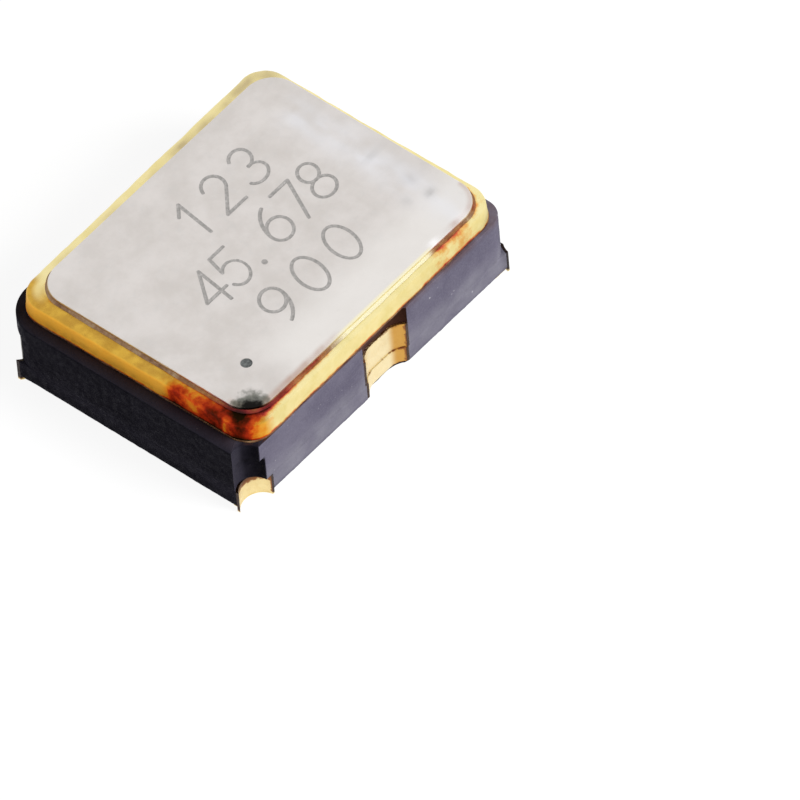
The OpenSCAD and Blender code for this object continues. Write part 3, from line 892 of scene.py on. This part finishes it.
def lid_height(x, y):
    """Height of the lid's top: rounded edge, weld tracks, a slight dish and shallow dents."""
    depth = max(0.0, depth_inside(LID, x, y))
    drop = 0.0
    if depth < LID_EDGE:
        drop = LID_EDGE - math.sqrt(max(0.0, LID_EDGE ** 2 - (LID_EDGE - depth) ** 2))
    inner = smoothstep(LID_EDGE, 0.12, depth)
    dish = 0.0016 * inner * (0.6 + fractal(x, y, 0.0, 0.55, seed=2.0))
    dents = 0.0007 * inner * fractal(x, y, 0.0, 0.14, seed=9.0)
    track = 0.0012 * bell(depth, 0.075, 0.02)
    return Z_LID_TOP - drop - dish - abs(dents) - track


def lid_blank():
    """The lid as a closed plate with a fine grid of points on its top."""
    xs, ys = (edge_grid(size / 2, LID_EDGE) for size in LID[2:4])
    nx, ny = len(xs), len(ys)
    places = [on_rounded(LID, x, y) for y in ys for x in xs]
    verts = [(x, y, lid_height(x, y)) for x, y in places]
    faces = [(a, a + 1, a + 1 + nx, a + nx)
             for j in range(ny - 1) for a in range(j * nx, (j + 1) * nx - 1)]
    rim = (list(range(nx)) + [j * nx + nx - 1 for j in range(1, ny)]
           + [(ny - 1) * nx + i for i in range(nx - 2, -1, -1)]
           + [j * nx for j in range(ny - 2, 0, -1)])
    upper = rim
    for z in (Z_LID + 0.02, Z_LID):
        lower = list(range(len(verts), len(verts) + len(rim)))
        verts += [(*places[k], z) for k in rim]
        faces += [(upper[k - 1], lower[k - 1], lower[k], upper[k])
                  for k in [*range(1, len(rim)), 0]]
        upper = lower
    faces.append(tuple(reversed(upper)))
    return mesh_of("lid_plate", verts, faces)


# Strokes of plain figures in a cell 1 wide and 1 high. A line is x, y, x, y, and an arc is
# centre x, y, half width, half height, and where it starts and ends in degrees.
FIGURES = {
    "0": [(0.5, 0.5, 0.5, 0.5, 0, 360)],
    "1": [(0.58, 0.0, 0.58, 1.0), (0.58, 1.0, 0.22, 0.76)],
    "2": [(0.48, 0.71, 0.44, 0.29, 165, -38), (0.82, 0.53, 0.02, 0.0), (0.02, 0.0, 0.96, 0.0)],
    "3": [(0.46, 0.74, 0.42, 0.26, 150, -90), (0.46, 0.25, 0.48, 0.25, 90, -155)],
    "4": [(0.74, 0.0, 0.74, 1.0), (0.74, 1.0, 0.02, 0.30), (0.02, 0.30, 1.0, 0.30)],
    "5": [(0.90, 1.0, 0.20, 1.0), (0.20, 1.0, 0.12, 0.55), (0.47, 0.33, 0.47, 0.33, 138, -150)],
    "6": [(0.5, 0.31, 0.47, 0.31, 0, 360), (0.97, 0.31, 0.94, 0.70, 112, 180)],
    "7": [(0.04, 1.0, 0.94, 1.0), (0.94, 1.0, 0.36, 0.0)],
    "8": [(0.5, 0.75, 0.38, 0.25, 0, 360), (0.5, 0.25, 0.47, 0.26, 0, 360)],
    "9": [(0.5, 0.69, 0.47, 0.31, 0, 360), (0.03, 0.69, 0.94, 0.70, -68, 0)],
    ".": [(0.3, 0.02, 0.05, 0.035, 0, 360)],
}
FIGURE_W, FIGURE_H, SLANT = 0.235, 0.38, 0.14
STROKE_W, STROKE_DEPTH = 0.030, 0.0045
DISH = 0.0015             # how far the lid's top lies below its full height at the strokes
LINE_POINTS, ARC_POINTS, CIRCLE_POINTS = 8, 28, 40  # along a stroke
TUBE_POINTS = 28          # round the tube that cuts it
# Each row: left end x, foot y, rise per mm, pitch, figures
ROWS = ((-0.235, 0.325, 0.02, 0.345, "123"),
        (-0.700, -0.245, 0.05, 0.272, "45.678"),
        (-0.500, -0.775, 0.03, 0.395, "900"))
DOT = (-0.960, -0.765, 0.05)  # round pit that marks pin 1: x, y, radius


def figure_strokes():
    """The middle lines of every stroke on the lid, in layers whose strokes never touch."""
    layers = ([], [], [])
    for left, foot, rise, pitch, text in ROWS:
        for place, figure in enumerate(text):
            x0 = left + place * pitch
            y0 = foot + rise * place * pitch
            for layer, stroke in enumerate(FIGURES[figure]):
                points = [(x0 + FIGURE_W * x + SLANT * FIGURE_H * y, y0 + FIGURE_H * y)
                          for x, y in stroke_points(stroke)]
                layers[layer].append((points, stroke[-1] == 360))
    return layers


def stroke_points(stroke):
    if len(stroke) == 4:
        return resample([stroke[:2], stroke[2:]], LINE_POINTS)
    cx, cy, rx, ry, start, end = stroke
    closed = end - start == 360
    count = CIRCLE_POINTS if closed else ARC_POINTS
    last = count if closed else count - 1
    turn = [math.radians(start + (end - start) * k / last) for k in range(count)]
    return [(cx + rx * math.cos(a), cy + ry * math.sin(a)) for a in turn]


def stroke_rows(points, closed):
    """Rings of a round-ended tube over a stroke, which cuts a trough of the stroke's width."""
    r = (STROKE_W ** 2 / 4 + STROKE_DEPTH ** 2) / (2 * STROKE_DEPTH)
    z = Z_LID_TOP - DISH + r - STROKE_DEPTH
    n, half = len(points), STROKE_W / 2
    rings = []
    for k, (x, y) in enumerate(points):
        a = points[k - 1] if closed or k else points[0]
        b = points[(k + 1) % n] if closed or k < n - 1 else points[-1]
        size = math.dist(a, b)
        rings.append((x, y, (b[0] - a[0]) / size, (b[1] - a[1]) / size, r))
    if not closed:
        for end, way in ((0, -half), (-1, half)):
            x, y, dx, dy, _ = rings[end]
            cap = [(x + dx * way * t, y + dy * way * t, dx, dy, r * (1 - (1 - s) * 0.2))
                   for t, s in ((0.35, 0.94), (0.7, 0.71), (0.95, 0.31))]
            rings = cap[::-1] + rings if end == 0 else rings + cap
    turn = [2 * math.pi * k / TUBE_POINTS for k in range(TUBE_POINTS)]
    return [[(x - dy * radius * math.sin(a), y + dx * radius * math.sin(a),
              z + radius * math.cos(a)) for a in turn] for x, y, dx, dy, radius in rings]


def dot_tool():
    """A flat-bottomed round pit, as a short drum."""
    x, y, r = DOT
    levels = ((-0.009, -0.010), (-0.006, -0.003), (0.02, 0.004))
    return loft("dot_tool", [[(px, py, Z_LID_TOP + rise) for px, py in circle(x, y, r + grow, 48)]
                             for rise, grow in levels])


# Smudges on the lid, given like the heat spots
SMUDGES = ((1.24, -0.78, 0.05, 0.04, 0.9), (1.25, -0.57, 0.05, 0.05, 0.5),
           (1.26, -0.17, 0.12, 0.03, 0.4), (1.05, -0.70, 0.05, 0.08, 0.3),
           (-0.30, 0.85, 0.25, 0.03, 0.15), (0.60, 0.62, 0.30, 0.04, 0.2))


def lid_masks(mesh):
    """Where the lid is streaked, smudged, oxidised or burnt, and where painted light makes it pale
    or glinting.
    """
    def pale(x, y, z):
        """Painted light: the lid is paler on its front part, the side by the marked corner."""
        return smoothstep(-0.55, -0.95, y) * smoothstep(-1.0, -0.6, x)

    def streak(x, y, z):
        """A pale streaky band down the lid's right end."""
        band = bell(x, 1.22, 0.16) * (1 - smoothstep(0.55, 0.85, y))
        return max(0.0, band * (0.5 + 0.6 * fractal(x * 2, y, 0.0, 0.3, seed=6.0)))

    def smudge(x, y, z):
        return clamped(spot_level(SMUDGES, x, y) * (1 + 0.8 * fractal(x, y, 0.0, 0.08, seed=3.0)))

    def bright(x, y, z):
        """Painted glints: white in places along the front edge, and at a spot near the marked
        corner.
        """
        edge = 1 - smoothstep(0.02, 0.07, depth_inside(LID, x, y))
        places = bell(x, 0.86, 0.05) + 0.7 * bell(x, 1.20, 0.08)
        corner = bell(x, -1.20, 0.03) * bell(y, -1.09, 0.03)
        return min(1.0, edge * places * (y < 0) + corner)

    def brown(x, y, z):
        """Oxide on the rim, and where the weld bit into the lid's edge."""
        side = 1 - smoothstep(Z_LID + 0.012, Z_LID_TOP - 0.016, z)
        side *= 1 - 0.85 * clean_seam(x, y)
        bitten = smoothstep(0.060, 0.015, depth_inside(LID, x, y)) * (y < -0.9)
        bitten *= 1 - smoothstep(-0.45, -0.25, x) + 0.8 * smoothstep(0.95, 1.1, x)
        ragged = 0.75 + 0.5 * fractal(x, y, 0.0, 0.12, seed=4.0)
        return clamped(max(side, 0.55 * bitten) * ragged)

    def soot(x, y, z):
        """Burnt spot at the lid's corner over the mark."""
        cx, cy, length, width = LID[:4]
        far = math.hypot(x - (cx - length / 2 + 0.07), y - (cy - width / 2 + 0.06))
        return 1 - smoothstep(0.02, 0.24, far + 0.03 * fractal(x, y, 0.0, 0.08, seed=1.0))

    def golden(x, y, z):
        """Gold drawn up on the rim where the seam is clean."""
        return 0.8 * clean_seam(x, y) * smoothstep(0.022, 0.004, depth_inside(LID, x, y))

    set_masks(mesh, pale=pale, streak=streak, smudge=smudge, bright=bright, brown=brown,
              golden=golden, soot=soot)


def colour_marks(mesh):
    """Gives the floors of the cut strokes and of the dot their own materials."""
    dot_x, dot_y, dot_r = DOT
    for face in mesh.polygons:
        x, y, z = (c / MM for c in face.center)
        face.material_index = 0
        if face.normal.z < 0.3 or depth_inside(LID, x, y) < 0.1:
            continue
        if z < lid_height(x, y) - 0.0004:
            near_dot = math.hypot(x - dot_x, y - dot_y) < dot_r + 0.01
            face.material_index = 2 if near_dot else 1


def make_lid():
    tools = []
    for layer in figure_strokes():
        verts, faces = [], []
        for points, closed in layer:
            more_verts, more_faces = skin(stroke_rows(points, closed), closed, len(verts))
            verts += more_verts
            faces += more_faces
        tools.append(mesh_of("strokes", verts, faces))
    mesh = combine(lid_blank(), "DIFFERENCE", *tools, dot_tool())
    mesh.name = "lid_plate"
    lid_masks(mesh)
    lid = new_piece("lid_plate", mesh,
                    [lid_finish(), mark_finish(), dot_finish()], ["lid"])
    colour_marks(mesh)
    return lid


# ------------------------------------------------------------- terminals


def pad_outline(sx, sy, marked):
    """One solder pad's flat, its edge a little ragged as printed."""
    x1, y1 = PAD_X - PAD_L, PAD_Y - PAD_W
    points = [(PAD_X, PAD_Y), (PAD_X, y1)]
    points += [(x1 + PAD_CHAMFER, y1), (x1, y1 + PAD_CHAMFER)] if marked else [(x1, y1)]
    points += [(x1, PAD_Y)]
    loop = resample([(sx * x, sy * y) for x, y in points], PAD_POINTS, closed=True)
    return [(x + 0.004 * fractal(x, y, 0.0, 0.06, seed=1.0),
             y + 0.004 * fractal(x, y, 0.0, 0.06, seed=2.0)) for x, y in loop]


def neck_outline(sx, sy):
    """The diagonal neck from a pad to its corner hole."""
    along, across, k = PAD_INSET + NECK_W, NECK_W / 2, math.sqrt(0.5)
    ends = ((-along, -across), (along, -across), (along, across), (-along, across))
    return [(sx * (PAD_X + (a - b) * k), sy * (PAD_Y + (a + b) * k)) for a, b in ends]


def lining_mesh(sx, sy, climb):
    """The plated skin of a corner hole, from the pads' plane up, cut off at the case's sides."""
    x, y, r = hole(sx, sy)
    shell = prism("lining", circle(x, y, r), 0.0, climb)
    bore = prism("bore", circle(x, y, r - LINING), -0.05, climb + 0.05)
    keep = prism("box", base_box(0.0), -0.1, Z_FLOOR)
    if climb > Z_FLOOR:
        above = rounded_loop((0, 0, 2 * HALF_L, 2 * HALF_W, UPPER_R[sx, sy]), 40, 8)
        keep = combine(keep, "UNION", prism("cap", above, Z_FLOOR - 0.001, climb + 0.1))
    return combine(combine(shell, "DIFFERENCE", bore), "INTERSECT", keep)


def base_box(inset):
    hl, hw = HALF_L - inset, HALF_W - inset
    return [(-hl, -hw), (hl, -hw), (hl, hw), (-hl, hw)]


def make_terminal(name, sx, sy, material):
    x, y, r = hole(sx, sy)
    flat = prism("pad", pad_outline(sx, sy, name == "terminal_1"), 0.0, Z_BASE)
    neck = prism("neck", neck_outline(sx, sy), 0.0002, Z_BASE - 0.0002)
    flat = combine(flat, "UNION", neck)
    flat = combine(flat, "INTERSECT", prism("box", base_box(SCORE), -0.1, 0.1))
    flat = combine(flat, "DIFFERENCE", prism("bore", circle(x, y, r - LINING / 2), -0.1, 0.1))
    climb = Z_LEDGE if name == "terminal_4" else Z_FLOOR
    mesh = combine(flat, "UNION", lining_mesh(sx, sy, climb))
    mesh.name = name
    def to_side(px, py):
        return min(HALF_L - abs(px), HALF_W - abs(py))

    def stain(px, py, pz):
        """Brown edges along the lining's ends and a line round the pad; brown at the lining's top
        is painted shade under the layer above.
        """
        if pz < Z_UNDER:
            across = min(abs(PAD_X - abs(px)), abs(abs(px) - PAD_X + PAD_L))
            along = min(abs(PAD_Y - abs(py)), abs(abs(py) - PAD_Y + PAD_W))
            near_hole = math.hypot(px - x, py - y) < r + 0.14
            return 0.75 * smoothstep(0.020, 0.0, min(across, along)) * (not near_hole)
        return max(smoothstep(0.035, 0.0, to_side(px, py)),
                   smoothstep(climb - 0.09, climb - 0.03, pz))

    def black(px, py, pz):
        """Dark cut ends of the lining; the whole linings of pins 2 and 4 made near black, as
        painted shade at pin 4; and painted shade at the lining's top, under the layer above.
        """
        end = 0.9 * smoothstep(0.006, 0.0, to_side(px, py)) * (pz > Z_BASE)
        blackened_linings = 0.96 * (sx != sy) * (pz > 0.004)
        # painted shade under the layer above the lining's top
        top = 0.75 * smoothstep(climb - 0.045, climb - 0.01, pz)
        return max(end, blackened_linings, top)

    subdivide(mesh)
    set_masks(mesh, stain=stain, black=black, pale=lambda px, py, pz: 0.4 * (pz > Z_UNDER))
    return new_piece("plated_" + name, mesh, [material], [name])


LONGEST, MOST_FACES = 0.04, 30000  # edge length in mm, and a limit to the splitting


def subdivide(mesh):
    """Splits long edges, so that a mask on the points can follow the shape."""
    bm = bmesh.new()
    bm.from_mesh(mesh)
    bmesh.ops.triangulate(bm, faces=bm.faces)
    for _ in range(4):
        long_edges = [e for e in bm.edges if e.calc_length() > LONGEST * MM]
        if not long_edges or len(bm.faces) > MOST_FACES:
            break
        bmesh.ops.subdivide_edges(bm, edges=long_edges, cuts=1)
        bmesh.ops.triangulate(bm, faces=bm.faces)
    bm.to_mesh(mesh)
    bm.free()


def make_side_contact(name, side, material):
    """Plating in a side slot: two bands, the upper one set back by the layers' step."""
    upper_r = SLOT_R + SLOT_STEP
    levels = [(PLATING_Z0, SLOT_R, 0.004), (PLATING_Z0 + 0.004, SLOT_R, 0.0)]
    levels += [(z, SLOT_R, 0.0) for z in spaced(0.08, Z_FLOOR - 0.004, 6)]
    levels += [(Z_FLOOR - 0.001, SLOT_R, 0.002), (Z_FLOOR + 0.001, upper_r, 0.0)]
    levels += [(z, upper_r, 0.0) for z in spaced(0.24, Z_LEDGE - 0.006, 8)]
    levels += [(Z_LEDGE - 0.001, upper_r, 0.003)]
    rows = []
    for z, r, off in levels:
        back = resample(side_slot(side, r - 0.0005, HALF_W), SLOT_POINTS)
        face = resample(side_slot(side, r - LINING + off, HALF_W), SLOT_POINTS)
        ragged = 0.004 if z > Z_LEDGE - 0.01 else 0.0
        row = [(x, y, z) for x, y in back]
        for x, y in reversed(face):
            bump = 0.0012 * fractal(x, y, z, 0.04, seed=2.0)
            drop = ragged * (1 + fractal(x, y, 0.0, 0.08, seed=3.0))
            row.append((x, y + side * bump, z - drop))
        rows.append(row)
    mesh = loft(name, rows)

    def stain(x, y, z):
        """A brown crescent along the top, painted shade under the ring's overhang, a line at the
        foot and one at the layers' step, darker at the +X end.
        """
        top = smoothstep(Z_LEDGE - 0.030, Z_LEDGE - 0.004, z)
        foot = smoothstep(PLATING_Z0 + 0.03, PLATING_Z0, z) * smoothstep(0.1, 0.3, x)
        edge = smoothstep(0.03, 0.0, HALF_W - abs(y))
        step = smoothstep(0.008, 0.003, abs(z - Z_FLOOR))
        return max(0.5 * top, 0.7 * foot, 0.8 * edge, (0.35 + 0.3 * (x > SLOT_X + 0.1)) * step)

    def orange(x, y, z):
        """Painted shade: the wall towards +X, turned away from the lamp, is a deeper, darker
        orange.
        """
        return 0.95 * smoothstep(SLOT_X + SLOT_HALF_FLAT, SLOT_X + SLOT_HALF_FLAT + 0.08, x)

    set_masks(mesh, stain=stain, pale=lambda x, y, z: 0.9, orange=orange,
              black=lambda x, y, z: 0.85 * smoothstep(0.006, 0.0, HALF_W - abs(y)))
    return new_piece("plated_" + name, mesh, [material], [name])


# ------------------------------------------------------------- pieces inside


def dress_inside():
    """Gives the solids in the sealed cavity their finishes."""
    gold = inner_finish("inner_gold", (0.90, 0.70, 0.32), 1.0, 0.38, 0.012, 0.0015)
    finishes = {
        "die_pad": gold, "bond_finger": gold, "crystal_pad": gold,
        "bond_wire": inner_finish("wire_gold", (0.95, 0.74, 0.30), 1.0, 0.2, 0.01, 0.0004),
        "die_attach": inner_finish("silver_glue", (0.55, 0.55, 0.53), 0.6, 0.5, 0.01, 0.003),
        "adhesive_dot": inner_finish("silver_dot", (0.60, 0.60, 0.58), 0.6, 0.45, 0.01, 0.003),
        "oscillator_chip": inner_finish("silicon", (0.20, 0.22, 0.30), 0.7, 0.18, 0.05, 0.0006),
        "quartz_blank": inner_finish("quartz", (0.93, 0.95, 0.96), 0.0, 0.12, 0.03, 0.0004,
                                     transmission_weight=0.85, ior=1.54),
        "electrode": inner_finish("electrode_silver", (0.86, 0.86, 0.85), 1.0, 0.2, 0.02, 0.0005),
    }
    for name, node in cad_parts.items():
        for start, material in finishes.items():
            if name.startswith(start):
                node.data.materials.clear()
                node.data.materials.append(material)


# ------------------------------------------------------------- camera, floor and light

VIEW_AZIMUTH, VIEW_ELEVATION, VIEW_ROLL = -45.97, 49.4, -5.3
VIEW_DISTANCE = 0.200        # metres
VIEW_WIDTH = 6.22            # mm across the picture at the object
AIM = (0.0, 0.0, 0.52)       # a point of the object, and where it sits off the picture's middle
AIM_LEFT, AIM_UP = 1.134, 0.975
SENSOR = 36.0                # width of the film in mm


def direction(azimuth, elevation):
    """Unit vector from the object towards a place seen at that angle."""
    a, e = math.radians(azimuth), math.radians(elevation)
    return Vector((math.sin(a) * math.cos(e), -math.cos(a) * math.cos(e), math.sin(e)))


def add_camera():
    """Long lens at the viewing angle, moved sideways so that the object sits up and left."""
    back = direction(VIEW_AZIMUTH, VIEW_ELEVATION)
    turn = (-back).to_track_quat("-Z", "Y")
    turn = turn @ Matrix.Rotation(math.radians(VIEW_ROLL), 3, "Z").to_quaternion()
    right, up = turn @ Vector((1, 0, 0)), turn @ Vector((0, 1, 0))
    centre = (Vector(AIM) + right * AIM_LEFT - up * AIM_UP) * MM
    lens = bpy.data.cameras.new("camera")
    lens.sensor_width = SENSOR
    lens.lens = SENSOR / (VIEW_WIDTH * MM / VIEW_DISTANCE)
    lens.clip_start, lens.clip_end = 0.01, 1.0
    camera = add_object("camera", lens)
    camera.rotation_mode = "QUATERNION"
    camera.rotation_quaternion = turn
    camera.location = centre + back * VIEW_DISTANCE
    bpy.context.scene.camera = camera


FLOOR_HALF = 0.06            # half its side in metres
FLOOR_GAP = 0.002            # mm between the floor and the pads
FLOOR_COLOUR, FLOOR_GLOW = (0.22, 0.22, 0.22), 0.91


def shown_rays(tree):
    """1 for camera, glossy and transmission rays, which see the pale surroundings."""
    path = tree.nodes.new("ShaderNodeLightPath").outputs
    value = path["Is Camera Ray"]
    for name in ("Is Glossy Ray", "Is Transmission Ray"):
        value = add_node(tree, "Math", {0: value, 1: path[name]}, operation="MAXIMUM")
    return value


def add_floor():
    """Plain pale floor under the pads. It glows to the eye only, and keeps the shadow."""
    mesh = bpy.data.meshes.new("floor")
    h = FLOOR_HALF
    mesh.from_pydata([(-h, -h, 0), (h, -h, 0), (h, h, 0), (-h, h, 0)], [], [(0, 1, 2, 3)])
    floor = add_object("floor", mesh)
    floor.location.z = -FLOOR_GAP * MM
    material = bpy.data.materials.new("floor")
    material.use_nodes = True
    tree = material.node_tree
    tree.nodes.clear()
    matt = add_node(tree, "BsdfDiffuse", {"Color": FLOOR_COLOUR})
    level = add_node(tree, "Math", {0: shown_rays(tree), 1: FLOOR_GLOW}, operation="MULTIPLY")
    glow = add_node(tree, "Emission", {"Strength": level})
    add_node(tree, "OutputMaterial", {"Surface": add_node(tree, "AddShader", {0: matt, 1: glow})})
    mesh.materials.append(material)


LIT_Z = 0.4                  # height in mm of the point that lamps face


def add_softbox(name, azimuth, elevation, distance, size, radiance):
    """A square lamp in mm that faces the object; radiance 1 is as bright as white."""
    lamp = bpy.data.lights.new(name, "AREA")
    lamp.shape, lamp.size = "SQUARE", size * MM
    lamp.energy = math.pi * (size * MM) ** 2 * radiance
    light = add_object(name, lamp)
    back = direction(azimuth, elevation)
    light.location = back * distance * MM + Vector((0, 0, LIT_Z * MM))
    light.rotation_euler = (-back).to_track_quat("-Z", "Y").to_euler()
    light.visible_glossy = False      # metals mirror the white surroundings only


WORLD_LIGHT = 0.12


def add_world():
    """White surroundings for what is seen and mirrored, and a dim even light from them."""
    world = bpy.data.worlds.new("world")
    bpy.context.scene.world = world
    world.use_nodes = True
    tree = world.node_tree
    tree.nodes.clear()
    dim, white = (add_node(tree, "Background", {"Color": (1, 1, 1), "Strength": strength})
                  for strength in (WORLD_LIGHT, 1.0))
    both = add_node(tree, "MixShader", {"Fac": shown_rays(tree), 1: dim, 2: white})
    add_node(tree, "OutputWorld", {"Surface": both})


def main():
    bpy.context.scene.view_settings.view_transform = "Standard"
    add_camera()
    add_floor()
    add_softbox("key", azimuth=22, elevation=32, distance=60, size=36, radiance=10.2)
    add_world()
    make_ceramic()
    make_braze()
    make_ring()
    make_weld()
    make_lid()
    plating = plated_finish("terminal_gold", (0.88, 0.70, 0.30), (0.30, 0.12, 0.04))
    for pin, (sx, sy) in enumerate(CORNERS, 1):
        make_terminal(f"terminal_{pin}", sx, sy, plating)
    make_side_contact("side_contact_front", -1, plating)
    make_side_contact("side_contact_back", 1, plating)
    dress_inside()


main()
